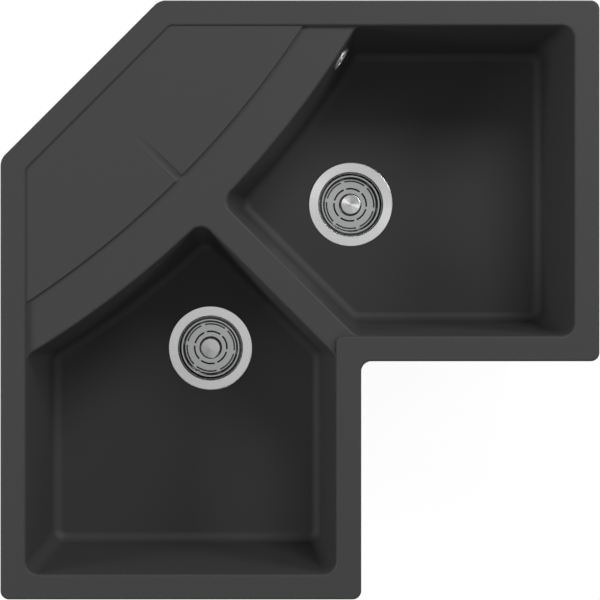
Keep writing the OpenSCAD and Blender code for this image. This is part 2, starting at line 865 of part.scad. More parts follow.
// The chamber behind the wall, with the post for the cover's screw and the pipe down
module overflow_head() {
    mouth_z = -wall_t - overflow_seal_t - pin_gap;
    chamber_r = overflow_head_r - overflow_head_wall;
    pipe_top = overflow_z - overflow_head_wall;
    color("#2b2b2b") {
        difference() {
            union() {
                at_overflow()
                    translate([0, 0, mouth_z - overflow_head_l])
                        cylinder(r = overflow_head_r, h = overflow_head_l);
                translate([overflow_axis[0], overflow_axis[1], hose_top])
                    cylinder(r = port_r, h = pipe_top - hose_top);
            }
            at_overflow()
                translate([0, 0, mouth_z - overflow_head_l + overflow_head_wall])
                    cylinder(r = chamber_r, h = overflow_head_l);
            translate([overflow_axis[0], overflow_axis[1], hose_top - over])
                cylinder(r = hose_bore_r, h = pipe_top - hose_top + over);
        }
        at_overflow()
            ring(
                overflow_post_r, cover_screw_r + pin_gap,
                mouth_z - overflow_head_l + overflow_head_wall, overflow_head_l - overflow_head_wall
            );
    }
}

// A cap nut round the joint of a pipe and the hose: z = 0 is where the two meet
module hose_nut() {
    difference() {
        translate([0, 0, -hose_nut_in - hose_nut_lip_t])
            cylinder(r = hose_nut_r, h = hose_nut_h);
        translate([0, 0, -hose_nut_in])
            cylinder(r = hose_nut_bore_r + gap, h = hose_nut_h);
        translate([0, 0, -hose_nut_in - hose_nut_lip_t - over])
            cylinder(r = hose_r + gap, h = hose_nut_h);
        for (i = [0:hose_nut_grips - 1])
            rotate([0, 0, i * 360 / hose_nut_grips])
                translate([hose_nut_r + grip_r / 2, 0, -hose_nut_in - hose_nut_lip_t - over])
                    cylinder(r = grip_r, h = hose_nut_h + 2 * over);
    }
}

module overflow_nut() {
    color("#303030")
        translate([overflow_axis[0], overflow_axis[1], hose_top]) hose_nut();
}

module port_nut() {
    color("#303030")
        at_waste(right_waste)
            rotate([0, 0, hose_turn + 180])
                translate([port_end_r, 0, -port_drop])
                    rotate([0, -90, 0]) hose_nut();
}

// Where the hose's axis is after a length s: [distance towards the waste, height, slope in degrees]
function hose_at(s) =
    s < hose_drop_l
        ? [0, hose_top - s, 0]
        : s < hose_drop_l + hose_bend_l
            ? let (a = (s - hose_drop_l) / hose_bend_l * 90)
                [hose_bend_r * (1 - cos(a)), hose_top - hose_drop_l - hose_bend_r * sin(a), a]
            : [hose_bend_r + s - hose_drop_l - hose_bend_l, hose_bottom, 90];

function hose_ring(s, r) =
    let (p = hose_at(s))
    [
        for (i = [0:hose_sides - 1])
            let (a = 360 * i / hose_sides, x = r * cos(a))
            let (flat = p[0] + x * cos(p[2]), side = r * sin(a))
            [
                overflow_axis[0] + flat * cos(hose_turn) - side * sin(hose_turn),
                overflow_axis[1] + flat * sin(hose_turn) + side * cos(hose_turn),
                p[1] + x * sin(p[2])
            ]
    ];

// A ribbed hose with a smooth bore, straight for one diameter at each end
module overflow_hose() {
    plain = 2 * hose_r;
    ribs = floor((hose_l - 2 * plain) / rib_pitch);
    pitch = (hose_l - 2 * plain) / ribs;
    skin = concat(
        [hose_ring(0, hose_r), hose_ring(plain, hose_r)],
        [for (i = [1:ribs - 1]) each [
            hose_ring(plain + (i - 1 / 2) * pitch, hose_r - rib_depth),
            hose_ring(plain + i * pitch, hose_r)
        ]],
        [hose_ring(plain + (ribs - 1 / 2) * pitch, hose_r - rib_depth)],
        [hose_ring(hose_l - plain, hose_r), hose_ring(hose_l, hose_r)]
    );
    bore_steps = fillet_steps * 2;
    bore = concat(
        [hose_ring(hose_l, hose_bore_r)],
        [for (i = [bore_steps:-1:0]) hose_ring(hose_drop_l + hose_bend_l * i / bore_steps, hose_bore_r)],
        [hose_ring(0, hose_bore_r)]
    );
    rings = concat(skin, bore);
    count = len(rings);
    faces = [
        for (j = [0:count - 1], i = [0:hose_sides - 1])
            let (
                a = j * hose_sides + i,
                b = j * hose_sides + (i + 1) % hose_sides,
                c = (j + 1) % count * hose_sides + i,
                d = (j + 1) % count * hose_sides + (i + 1) % hose_sides
            )
            each [[a, b, d], [a, d, c]]
    ];
    color("#3a3a3a") polyhedron(points = [for (r = rings) each r], faces = faces);
}

module fixing_dowels() {
    color("#d8d8d0")
        both_sides()
            for (lug = lug_places)
                translate([lug[0][0], lug[0][1], 0])
                    ring(dowel_r, dowel_bore_r, strap_top, dowel_l - dowel_below_bore);
}

module fixing_screws() {
    head_z = strap_top - clip_t;
    color("#b4b4b4")
        both_sides()
            for (lug = lug_places)
                translate([lug[0][0], lug[0][1], head_z])
                    difference() {
                        union() {
                            cylinder(r = fixing_screw_r, h = fixing_screw_l);
                            translate([0, 0, -fixing_head_h]) cylinder(r = fixing_head_r, h = fixing_head_h);
                        }
                        translate([0, 0, -fixing_head_h - over])
                            cylinder(r = hex_key_r, h = hex_key_depth + over, $fn = 6);
                    }
}

// One clip: a strap under the lug, and a lip that bears on the worktop's underside
module clip(lug) {
    color("#a8a8a8")
        translate([lug[0][0], lug[0][1], strap_top - clip_t])
            rotate([0, 0, lug[1]])
                difference() {
                    union() {
                        cylinder(r = clip_w / 2, h = clip_t);
                        translate([0, -clip_w / 2, 0]) cube([clip_reach, clip_w, clip_t]);
                        translate([clip_reach - clip_lip_t, -clip_w / 2, 0])
                            cube([clip_lip_t, clip_w, clip_t + clip_lip_h]);
                    }
                    translate([0, 0, -over])
                        cylinder(r = fixing_screw_r + pin_gap, h = clip_t + 2 * over);
                }
}

module mirrored_clip(lug) {
    mirror([1, 1, 0]) clip(lug);
}

sink_body();
rim_seal();
strainer_cup(left_waste);  // left_strainer_cup
cup_seal(left_waste);  // left_cup_seal
outlet_seal(left_waste);  // left_outlet_seal
waste_body(left_waste, false);  // left_waste_body
waste_screw(left_waste);  // left_waste_screw
waste_nut(left_waste);  // left_waste_nut
basket(left_waste);  // left_basket
basket_knob(left_waste);  // left_basket_knob
basket_stopper(left_waste);  // left_basket_stopper
basket_catch(left_waste);  // left_basket_catch
strainer_cup(right_waste);  // right_strainer_cup
cup_seal(right_waste);  // right_cup_seal
outlet_seal(right_waste);  // right_outlet_seal
waste_body(right_waste, true);  // right_waste_body
waste_screw(right_waste);  // right_waste_screw
waste_nut(right_waste);  // right_waste_nut
basket(right_waste);  // right_basket
basket_knob(right_waste);  // right_basket_knob
basket_stopper(right_waste);  // right_basket_stopper
basket_catch(right_waste);  // right_basket_catch
overflow_cover();
overflow_screw();
overflow_seal();
overflow_head();
overflow_nut();
overflow_hose();
port_nut();
fixing_dowels();
fixing_screws();
clip(lug_places[0]);  // fixing_clip_1
clip(lug_places[1]);  // fixing_clip_2
clip(lug_places[2]);  // fixing_clip_3
clip(lug_places[3]);  // fixing_clip_4
mirrored_clip(lug_places[0]);  // fixing_clip_5
mirrored_clip(lug_places[1]);  // fixing_clip_6
mirrored_clip(lug_places[2]);  // fixing_clip_7
mirrored_clip(lug_places[3]);  // fixing_clip_8
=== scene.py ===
# %% [markdown]
# Corner kitchen sink. The CAD model gives every piece its size and place, and this lesson gives the
# pieces their looks. The big dark casting is modelled again here from a flat plate, so that every
# corner and edge is softly rounded as in a mould, and the steel wastes are turned from profiles.

# %% Load the frame
import json
import math

import bmesh
import bpy
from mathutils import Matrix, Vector


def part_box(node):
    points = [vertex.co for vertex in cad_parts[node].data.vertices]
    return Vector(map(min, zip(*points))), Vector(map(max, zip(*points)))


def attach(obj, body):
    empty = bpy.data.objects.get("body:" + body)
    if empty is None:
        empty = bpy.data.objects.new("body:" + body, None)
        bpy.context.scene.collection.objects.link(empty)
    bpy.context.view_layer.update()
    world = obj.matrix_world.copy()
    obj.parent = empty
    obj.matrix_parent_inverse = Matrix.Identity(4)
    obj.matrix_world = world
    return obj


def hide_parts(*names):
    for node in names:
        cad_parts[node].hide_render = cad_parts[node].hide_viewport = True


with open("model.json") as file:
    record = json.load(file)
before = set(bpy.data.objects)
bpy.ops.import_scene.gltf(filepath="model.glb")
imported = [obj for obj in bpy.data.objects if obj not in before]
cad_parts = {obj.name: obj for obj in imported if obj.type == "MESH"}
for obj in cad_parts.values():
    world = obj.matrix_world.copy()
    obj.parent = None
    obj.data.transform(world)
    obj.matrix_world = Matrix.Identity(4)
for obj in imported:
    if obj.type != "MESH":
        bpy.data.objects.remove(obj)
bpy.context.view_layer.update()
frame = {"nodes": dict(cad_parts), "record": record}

# %% [markdown]
# Sizes. They repeat the driving sizes of the CAD model, in metres, because the frame holds only
# meshes. The origin is the centre of the square that the sink fills, and z = 0 is the worktop.

# %% Sizes of the casting
MM = 0.001
SIDE = 830 * MM
HALF = SIDE / 2
CUT_CORNER = 220 * MM  # length that the cut corner takes off each side
NOTCH_AT = 85 * MM  # from the centre to the notch's two sides
RIM_W = 33.5 * MM
RIM_TOP = 10 * MM
DRAINER_DROP = 3 * MM
BAND_DROP = 7 * MM
BOWL_DEPTH = 200 * MM
DRAFT = 15 * MM  # how far each bowl's wall leans in on its way down
WALL = 9 * MM
DIVIDER_HALF = 20 * MM
DRAINER_Z = RIM_TOP - DRAINER_DROP
BAND_Z = RIM_TOP - BAND_DROP
FLOOR_Z = RIM_TOP - BOWL_DEPTH
RECESS_RUN = 2 * MM  # how far the rim's inner side leans in
INNER = HALF - RIM_W - RECESS_RUN
INNER_NOTCH = NOTCH_AT - RIM_W - RECESS_RUN
CORNER_AT = HALF * math.sqrt(2)  # from the centre to the room's corner
STEP_R = 1349 * MM
STEP_AT = CORNER_AT - 349.3 * MM  # where the step crosses the diagonal
MOUTH_R = 1343 * MM
MOUTH_AT = CORNER_AT - 413.2 * MM  # where the bowls' curved walls would cross it


def along(u, v):
    """A place on the diagonal: u towards the room's corner, v across it to the right bowl."""
    return Vector(((v - u) / math.sqrt(2), (u + v) / math.sqrt(2), 0))


ACROSS = along(0, 1)
RIGHT_WASTE = along(MOUTH_AT - 132 * MM, 154.9 * MM)
LEFT_WASTE = along(MOUTH_AT - 135.5 * MM, -145.7 * MM)

# %% [markdown]
# Helpers. Every step starts with nothing selected, and faces and edges are then picked by their
# place, as a modeller picks them with the mouse.

# %% Helpers for picking
NEAR = 0.05 * MM  # places closer than this count as the same


def start_piece():
    if bpy.context.object and bpy.context.object.mode == "EDIT":
        bpy.ops.object.mode_set(mode="OBJECT")
    bpy.ops.object.select_all(action="DESELECT")


def name_piece(name):
    """Gives the new primitive its name and puts its place into its mesh."""
    piece = bpy.context.object
    piece.name = piece.data.name = name
    bpy.ops.object.transform_apply(location=True, rotation=True, scale=True)
    return piece


def edit(piece, kind):
    if bpy.context.object is not piece or not piece.select_get():
        start_piece()
        piece.select_set(True)
        bpy.context.view_layer.objects.active = piece
    bpy.ops.object.mode_set(mode="EDIT")
    bpy.ops.mesh.select_mode(type=kind)


def pick_faces(piece, test):
    edit(piece, "FACE")
    bpy.ops.mesh.select_all(action="DESELECT")
    mesh = bmesh.from_edit_mesh(piece.data)
    for face in mesh.faces:
        face.select_set(test(face.calc_center_median(), face))
    bmesh.update_edit_mesh(piece.data)
    return sum(face.select for face in mesh.faces)


def pick_edges(piece, test):
    edit(piece, "EDGE")
    bpy.ops.mesh.select_all(action="DESELECT")
    mesh = bmesh.from_edit_mesh(piece.data)
    for line in mesh.edges:
        line.select_set(test(line.verts[0].co, line.verts[1].co, line))
    bmesh.update_edit_mesh(piece.data)
    return sum(line.select for line in mesh.edges)


def done(piece):
    bpy.ops.object.mode_set(mode="OBJECT")
    return piece


def at_height(z, *points):
    return all(abs(p.z - z) < NEAR for p in points)


# %% [markdown]
# The casting's plan. On the real object the whole top is one cast skin: a raised rim, a shallow
# drainer in the corner, a curved step down to the band, and the divider between two bowls. It could be
# carved out of a block with Booleans. Here the rim with the drainer, and the bowls, are each bent up
# from a flat plate and then joined, because edges made that way can be rounded one by one.

# %% Cut a plate to the sink's outline
RIGHT_ANGLE = 90
BLUNT_ANGLE = 45
TIP_ANGLE = 58.6
CORNER_STEPS = 8
FLAT_ENOUGH = math.radians(1)


def cut_plate(name):
    start_piece()
    bpy.ops.mesh.primitive_plane_add(size=SIDE, location=(0, 0, RIM_TOP))
    plate = name_piece(name)
    edit(plate, "FACE")
    bpy.ops.mesh.select_all(action="SELECT")
    chamfer_place = Vector((-HALF, HALF - CUT_CORNER, 0))
    bpy.ops.mesh.bisect(plane_co=chamfer_place, plane_no=(-1, 1, 0), clear_outer=True)
    for normal in ((1, 0, 0), (0, -1, 0)):
        bpy.ops.mesh.select_all(action="SELECT")
        bpy.ops.mesh.bisect(plane_co=Vector(normal) * NOTCH_AT, plane_no=normal)
    pick_faces(plate, lambda c, f: c.x > NOTCH_AT and c.y < -NOTCH_AT)
    bpy.ops.mesh.delete(type="FACE")
    bpy.ops.mesh.select_all(action="SELECT")
    bpy.ops.mesh.dissolve_limited(angle_limit=FLAT_ENOUGH)
    print(name, "has", len(bmesh.from_edit_mesh(plate.data).verts), "corners")
    return plate


def with_mirror(*places):
    """Those places and their mirror images across the diagonal."""
    return [Vector(p) for p in places] + [Vector((-p[1], -p[0], 0)) for p in places]


def tangent_length(radius, turn):
    return radius * math.tan(math.radians(turn / 2))


def round_plan(piece, places, radius, turn):
    """Rounds the corners of a flat outline at those places."""
    edit(piece, "VERT")
    bpy.ops.mesh.select_all(action="DESELECT")
    mesh = bmesh.from_edit_mesh(piece.data)
    for corner in mesh.verts:
        corner.select_set(any((corner.co - p).to_2d().length < NEAR for p in places))
    bmesh.update_edit_mesh(piece.data)
    reach = tangent_length(radius, turn)
    bpy.ops.mesh.bevel(offset=reach, segments=CORNER_STEPS, affect="VERTICES", clamp_overlap=False)


# %% [markdown]
# Scoring. Arcs and round holes are cut into flat faces where a tall round wall crosses them, as a
# pastry cutter marks dough. All faces at other heights are hidden first, so nothing else is cut.

# %% Cut lines into a plate
ARC_SIDES = 480


def beyond_arc(place, radius, at):
    """True on the room's side of that arc."""
    return (place - along(at + radius, 0)).to_2d().length < radius


def score_circle(piece, z, radius, centre, sides):
    """Cuts the flat faces at height z along a circle, or along the part of it that crosses them."""
    pick_faces(piece, lambda c, f: not at_height(z, *(v.co for v in f.verts)))
    bpy.ops.mesh.hide()
    bpy.ops.mesh.primitive_cylinder_add(
        vertices=sides, radius=radius, depth=BOWL_DEPTH, end_fill_type="NOTHING",
        location=(centre[0], centre[1], z),
    )
    bpy.ops.mesh.intersect(mode="SELECT_UNSELECT", separate_mode="NONE", solver="EXACT")
    pick_faces(piece, lambda c, f: not f.hide and not at_height(z, *(v.co for v in f.verts)))
    bpy.ops.mesh.delete(type="FACE")
    bpy.ops.mesh.reveal(select=False)


def score_arc(piece, z, radius, at):
    """Scores a long arc that lies across the diagonal."""
    score_circle(piece, z, radius, along(at + radius, 0), ARC_SIDES)


# %% [markdown]
# The rim, the drainer and the low wall. The rim is a raised border 33.5 mm wide that lies on the
# worktop, and inside it the top drops to the drainer and then, along a long arc, to the band. The
# plate's copy is inset to find the rim's inner line, the recess is sunk by an inset with a depth, and
# the rim's two outlines are bridged after their corners are rounded, so the corners stay even.

# %% Make the rim, the drainer and the low wall round the bowls
OUTER_R = 12 * MM
OUTER_NOTCH_R = 14 * MM
OUTER_CHAMFER_R = 20 * MM
CORNER_R = 18 * MM
NOTCH_R = 9 * MM
CHAMFER_END_R = 11 * MM

casting = cut_plate("sink_casting")
bpy.ops.mesh.select_all(action="SELECT")
bpy.ops.mesh.duplicate()
bpy.ops.mesh.inset(thickness=RIM_W, depth=0)
pick_faces(casting, lambda c, f: len(f.verts) == 4)
bpy.ops.mesh.delete(type="FACE")

RIM_IN = HALF - RIM_W
RIM_NOTCH = NOTCH_AT - RIM_W
chamfer_far = HALF - CUT_CORNER
chamfer_near = chamfer_far - RIM_W * (math.sqrt(2) - 1)


def round_outline(piece):
    """Rounds the corners of the sink's own outline."""
    round_plan(piece, with_mirror((HALF, HALF, 0), (HALF, -NOTCH_AT, 0)), OUTER_R, RIGHT_ANGLE)
    round_plan(piece, [Vector((NOTCH_AT, -NOTCH_AT, 0))], OUTER_NOTCH_R, RIGHT_ANGLE)
    round_plan(piece, with_mirror((-chamfer_far, HALF, 0)), OUTER_CHAMFER_R, BLUNT_ANGLE)


round_outline(casting)
recess_corners = with_mirror((RIM_IN, RIM_IN, 0), (RIM_IN, -RIM_NOTCH, 0))
round_plan(casting, recess_corners, CORNER_R + RECESS_RUN, RIGHT_ANGLE)
round_plan(casting, [Vector((RIM_NOTCH, -RIM_NOTCH, 0))], NOTCH_R - RECESS_RUN, RIGHT_ANGLE)
round_plan(casting, with_mirror((-chamfer_near, RIM_IN, 0)), CHAMFER_END_R + RECESS_RUN, BLUNT_ANGLE)

pick_faces(casting, lambda c, f: all(v.co.x < RIM_IN + NEAR for v in f.verts))
bpy.ops.mesh.inset(thickness=RECESS_RUN, depth=-DRAINER_DROP)
score_arc(casting, DRAINER_Z, STEP_R, STEP_AT)
pick_faces(casting, lambda c, f: at_height(DRAINER_Z, c) and not beyond_arc(c, STEP_R, STEP_AT))
drop = {"value": (0, 0, DRAINER_DROP - BAND_DROP)}
bpy.ops.mesh.extrude_region_move(TRANSFORM_OT_translate=drop)
bpy.ops.mesh.delete(type="FACE")
pick_faces(casting, lambda c, f: at_height(RIM_TOP, c))
bpy.ops.mesh.delete(type="ONLY_FACE")
count = pick_edges(casting, lambda a, b, line: at_height(RIM_TOP, a, b))
print("edges of the rim's two outlines", count)
bpy.ops.mesh.bridge_edge_loops()
done(casting)

# %% [markdown]
# The bowls. Both come from a second plate at the band's level: the arc cuts off the corner, two
# straight cuts leave the divider between them, and an inset with a depth makes leaning walls and
# floors in one step, as the mould's draft does.

# %% Make the two bowls' mouths
bowls = cut_plate("bowls")
bpy.ops.mesh.select_all(action="SELECT")
bpy.ops.mesh.inset(thickness=RIM_W + RECESS_RUN, depth=BAND_Z - RIM_TOP)
bpy.ops.mesh.select_all(action="INVERT")
bpy.ops.mesh.delete(type="FACE")
score_arc(bowls, BAND_Z, MOUTH_R, MOUTH_AT)
pick_faces(bowls, lambda c, f: beyond_arc(c, MOUTH_R, MOUTH_AT))
bpy.ops.mesh.delete(type="FACE")
for off in (-DIVIDER_HALF, DIVIDER_HALF):
    bpy.ops.mesh.select_all(action="SELECT")
    bpy.ops.mesh.bisect(plane_co=along(0, off), plane_no=ACROSS)
pick_faces(bowls, lambda c, f: abs(c.dot(ACROSS)) < DIVIDER_HALF)
bpy.ops.mesh.delete(type="FACE")
bpy.ops.mesh.select_all(action="SELECT")
bpy.ops.mesh.inset(thickness=DRAFT, depth=FLOOR_Z - BAND_Z)
print("bowl faces", len(bmesh.from_edit_mesh(bowls.data).faces))

# %% [markdown]
# Corners. A mould has no sharp inside corner, because the mix wouldn't fill it. The bowls are loose
# from the band here, so their upright edges can be rounded with no other edge in the way. The band
# is one face that is filled in afterwards, round the finished corners.

# %% Round the bowls' upright corners
TIP_R = 16 * MM
FLOOR_FILLET = 13.9 * MM
CHAIN_REACH = 3.5 * MM
ALMOST_FLAT = math.radians(2)


def pick_upright(test):
    """Picks the bowls' tall edges whose top, in the plan, passes the test."""
    def tall(a, b, line):
        top, foot = (a, b) if a.z > b.z else (b, a)
        return top.z - foot.z > BOWL_DEPTH / 2 and test(top, line)
    return pick_edges(bowls, tall)


def gap_to(places, top):
    return min((top - p).to_2d().length for p in places)


def round_upright(places, radius, turn):
    """Rounds corners, where a curved wall's own edges stand too near after taking those out."""
    reach = tangent_length(radius, turn)
    pick_upright(lambda top, line: CHAIN_REACH < gap_to(places, top) < reach + DRAFT
                 and line.calc_face_angle(RIGHT_ANGLE) < ALMOST_FLAT)
    bpy.ops.mesh.dissolve_edges(use_verts=True)
    count = pick_upright(lambda top, line: gap_to(places, top) < CHAIN_REACH)
    bpy.ops.mesh.bevel(offset=reach, segments=CORNER_STEPS, affect="EDGES", clamp_overlap=False)
    print("rounded", count, "edges to", round(radius / MM, 1), "mm")


def arc_meets_line(radius, at, v):
    return along(at + radius - math.sqrt(radius * radius - v * v), v)


def arc_meets_top(radius, at):
    centre = along(at + radius, 0)
    rise = INNER - centre.y
    return Vector((centre.x + math.sqrt(radius * radius - rise * rise), INNER, 0))


divider_head = arc_meets_line(MOUTH_R, MOUTH_AT, DIVIDER_HALF)
divider_foot = (math.sqrt(2) * DIVIDER_HALF + INNER_NOTCH, -INNER_NOTCH, 0)
round_upright(with_mirror((INNER, INNER, 0), (INNER, -INNER_NOTCH, 0)), CORNER_R, RIGHT_ANGLE)
round_upright(with_mirror(divider_head), CORNER_R, RIGHT_ANGLE)
round_upright(with_mirror(divider_foot), CORNER_R, BLUNT_ANGLE)
round_upright(with_mirror(arc_meets_top(MOUTH_R, MOUTH_AT)), TIP_R, TIP_ANGLE)

# %% [markdown]
# The fillet at the floor lets water run to the waste and a cloth reach every corner. It comes after
# the upright corners, so that it runs round them in one band.

# %% Round the edge between walls and floor
pick_faces(bowls, lambda c, f: at_height(FLOOR_Z, c))
bpy.ops.mesh.region_to_loop()
bpy.ops.mesh.bevel(offset=FLOOR_FILLET, segments=CORNER_STEPS, affect="EDGES", clamp_overlap=False)
done(bowls)

# %% [markdown]
# Joining. The low wall's foot and the bowls' mouths share one line, but each has its own corners on
# it. Each open edge gets a corner wherever the other part has one, the corners are merged, and the band
# is then one flat face whose outline is already there.

# %% Join the bowls to the low wall and fill in the band
ON_LINE = 0.1 * MM


def open_lines(mesh, z):
    def is_open(line):
        return line.is_boundary and at_height(z, *(v.co for v in line.verts))
    return [line for line in mesh.edges if is_open(line)]


def part_of_the_way(point, line):
    """How far along an open edge a point lies, or None where it isn't on that edge."""
    a, b = (v.co for v in line.verts)
    run = b - a
    far = (point - a).dot(run) / run.length_squared
    off = (point - a - run * far).length
    inside = ON_LINE < far * run.length < run.length - ON_LINE
    return far if inside and off < ON_LINE else None


def split_where_touched(piece, z):
    """Gives open edges a corner wherever another corner lies on them."""
    edit(piece, "EDGE")
    mesh = bmesh.from_edit_mesh(piece.data)
    splits = 0
    points = {v.co.copy().freeze() for line in open_lines(mesh, z) for v in line.verts}
    for point in points:
        for line in open_lines(mesh, z):
            far = part_of_the_way(point, line)
            if far is not None:
                bmesh.utils.edge_split(line, line.verts[0], far)
                splits += 1
    bmesh.update_edit_mesh(piece.data)
    return splits


def merge_all():
    bpy.ops.mesh.select_all(action="SELECT")
    bpy.ops.mesh.remove_doubles(threshold=ON_LINE)


start_piece()
bowls.select_set(True)
casting.select_set(True)
bpy.context.view_layer.objects.active = casting
bpy.ops.object.join()
edit(casting, "EDGE")
merge_all()
for height in (BAND_Z, DRAINER_Z):
    print("edges split", split_where_touched(casting, height))
merge_all()
count = pick_edges(casting, lambda a, b, line: line.is_boundary and at_height(BAND_Z, a, b))
print("edges round the band", count)
bpy.ops.mesh.edge_face_add()
bpy.ops.mesh.select_all(action="SELECT")
bpy.ops.mesh.normals_make_consistent(inside=False)
done(casting)

# %% [markdown]
# Thickness. The casting is about 9 mm thick all over, so a Solidify modifier gives the skin its
# underside before the small edges are rounded. Doing it later would fold the underside where an
# edge's radius is smaller than the wall.

# %% Give the skin its thickness
solidify = casting.modifiers.new("thickness", "SOLIDIFY")
solidify.thickness = WALL
solidify.offset = -1
solidify.use_even_offset = True
bpy.ops.object.modifier_apply(modifier=solidify.name)
TOO_FAR = 2 * WALL
half_way = len(casting.data.vertices) // 2
pulled_back = 0
for i in range(half_way):
    upper = casting.data.vertices[i].co
    lower = casting.data.vertices[i + half_way]
    if (lower.co - upper).length > TOO_FAR:
        lower.co = upper + (lower.co - upper).normalized() * WALL
        pulled_back += 1
print("thick faces", len(casting.data.polygons), "corners pulled back", pulled_back)

# %% [markdown]
# Holes. The real casting leaves the mould with its waste holes, and each has a shallow rebate for the
# steel flange. They lie in flat floors, so they are scored, sunk and bridged like everything so far.

# %% Open the floors for the wastes
ROUND_SIDES = 96
FLANGE_R = 63.5 * MM
REBATE_PLAY = 0.3 * MM
REBATE_DEPTH = 3 * MM
WASTE_HOLE_R = 48.5 * MM
TAP_R = 17.5 * MM
TAP_SKIN = 4 * MM
TAP_BEHIND_STEP = 34 * MM


def pick_disc(z, radius, place):
    """Picks the flat face inside a scored circle."""
    def inside(c, face):
        reach = max((v.co - place).to_2d().length for v in face.verts)
        return at_height(z, c) and reach < radius + NEAR
    return pick_faces(casting, inside)


def open_floor(place):
    rebate_r = FLANGE_R + REBATE_PLAY
    score_circle(casting, FLOOR_Z, rebate_r, place, ROUND_SIDES)
    pick_disc(FLOOR_Z, rebate_r, place)
    bpy.ops.mesh.extrude_region_move(TRANSFORM_OT_translate={"value": (0, 0, -REBATE_DEPTH)})
    bpy.ops.mesh.inset(thickness=rebate_r - WASTE_HOLE_R)
    bpy.ops.mesh.delete(type="FACE")
    score_circle(casting, FLOOR_Z - WALL, WASTE_HOLE_R, place, ROUND_SIDES)
    pick_disc(FLOOR_Z - WALL, WASTE_HOLE_R, place)
    bpy.ops.mesh.delete(type="FACE")

    def at_hole(a, b, line):
        return line.is_boundary and (a - place).to_2d().length < FLANGE_R
    count = pick_edges(casting, at_hole)
    bpy.ops.mesh.bridge_edge_loops()
    print("edges round the waste's hole", count)


for place in (LEFT_WASTE, RIGHT_WASTE):
    open_floor(place)
done(casting)

# %% [markdown]
# Edges. Cast composite has soft edges everywhere. The largest is on the rim's outer edge, the mouths
# of the bowls come next, and the rim's inner edge and the step are almost sharp.

# %% Round the top edges
RIM_EDGE_R = 4 * MM
MOUTH_EDGE_R = 3.5 * MM
SMALL_EDGE_R = 1.5 * MM
RIM_EDGE_STEPS = 5
MOUTH_EDGE_STEPS = 4
SMALL_EDGE_STEPS = 3
FLAT = 0.99


def is_flat(face, z):
    return face.normal.z > FLAT and at_height(z, *(v.co for v in face.verts))


def pick_drop_edges(z, test):
    """Picks edges of a flat top face at height z whose other face falls away or rises."""
    def is_drop(a, b, line):
        if not at_height(z, a, b) or len(line.link_faces) != 2:
            return False
        side_faces = [face for face in line.link_faces if not is_flat(face, z)]
        return len(side_faces) == 1 and test((a + b) / 2, side_faces[0].calc_center_median())
    return pick_edges(casting, is_drop)


def on_outer_edge(c):
    past_notch = c.x > NOTCH_AT - NEAR and c.y < NEAR - NOTCH_AT
    past_chamfer = c.y - c.x > 2 * HALF - CUT_CORNER - 2 * OUTER_CHAMFER_R
    return max(abs(c.x), abs(c.y)) > HALF - OUTER_R or past_notch or past_chamfer


def soften(name, count, radius, segments):
    bpy.ops.mesh.bevel(offset=radius, segments=segments, affect="EDGES", clamp_overlap=False)
    print("softened", name, count, "edges")


found = pick_drop_edges(RIM_TOP, lambda c, side: side.z < RIM_TOP and not on_outer_edge(c))
soften("rim's inner edge", found, SMALL_EDGE_R, SMALL_EDGE_STEPS)
found = pick_drop_edges(DRAINER_Z, lambda c, side: side.z < DRAINER_Z)
soften("step", found, SMALL_EDGE_R, SMALL_EDGE_STEPS)
found = pick_drop_edges(BAND_Z, lambda c, side: side.z < BAND_Z)
soften("bowls' mouths", found, MOUTH_EDGE_R, MOUTH_EDGE_STEPS)
found = pick_drop_edges(RIM_TOP, lambda c, side: on_outer_edge(c))
soften("rim's outer edge", found, RIM_EDGE_R, RIM_EDGE_STEPS)
done(casting)

# %% [markdown]
# The overflow's hole goes square through the right bowl's curved wall, 58 mm under the rim's top. The
# drain groove leads from the drainer down to the band. The tap's hole is only started from below. All
# three cross curved or leaning faces or meet other edges, so Boolean modifiers cut them.

# %% Cut the overflow's hole, the drain groove and the tap's hole
OVERFLOW_TURN = math.radians(-32.9)
OVERFLOW_Z = -48 * MM
OVERFLOW_WALL_R = 1346.96 * MM
OVERFLOW_LEAN = math.radians(4.44)
OVERFLOW_HOLE_R = 12 * MM
GROOVE_L = 120 * MM
GROOVE_W = 14 * MM


def cut_out(target, tool):
    """Cuts one piece out of another and takes the tool away."""
    boolean = target.modifiers.new("cut", "BOOLEAN")
    boolean.operation = "DIFFERENCE"
    boolean.solver = "EXACT"
    boolean.object = tool
    start_piece()
    target.select_set(True)
    bpy.context.view_layer.objects.active = target
    bpy.ops.object.modifier_apply(modifier=boolean.name)
    print("cut", tool.name, "and have", len(target.data.polygons), "faces")
    bpy.data.objects.remove(tool)


mouth_centre = along(MOUTH_AT + MOUTH_R, 0)
outward = Vector((math.cos(OVERFLOW_TURN), math.sin(OVERFLOW_TURN), 0))
overflow_place = mouth_centre + outward * OVERFLOW_WALL_R + Vector((0, 0, OVERFLOW_Z))
overflow_rise = Vector((0, 0, math.sin(OVERFLOW_LEAN)))
overflow_axis = (outward * math.cos(OVERFLOW_LEAN) + overflow_rise).normalized()
start_piece()
bpy.ops.mesh.primitive_cylinder_add(
    vertices=ROUND_SIDES, radius=OVERFLOW_HOLE_R, depth=4 * WALL,
    location=overflow_place, rotation=overflow_axis.to_track_quat("Z", "Y").to_euler(),
)
cut_out(casting, name_piece("overflow_hole"))

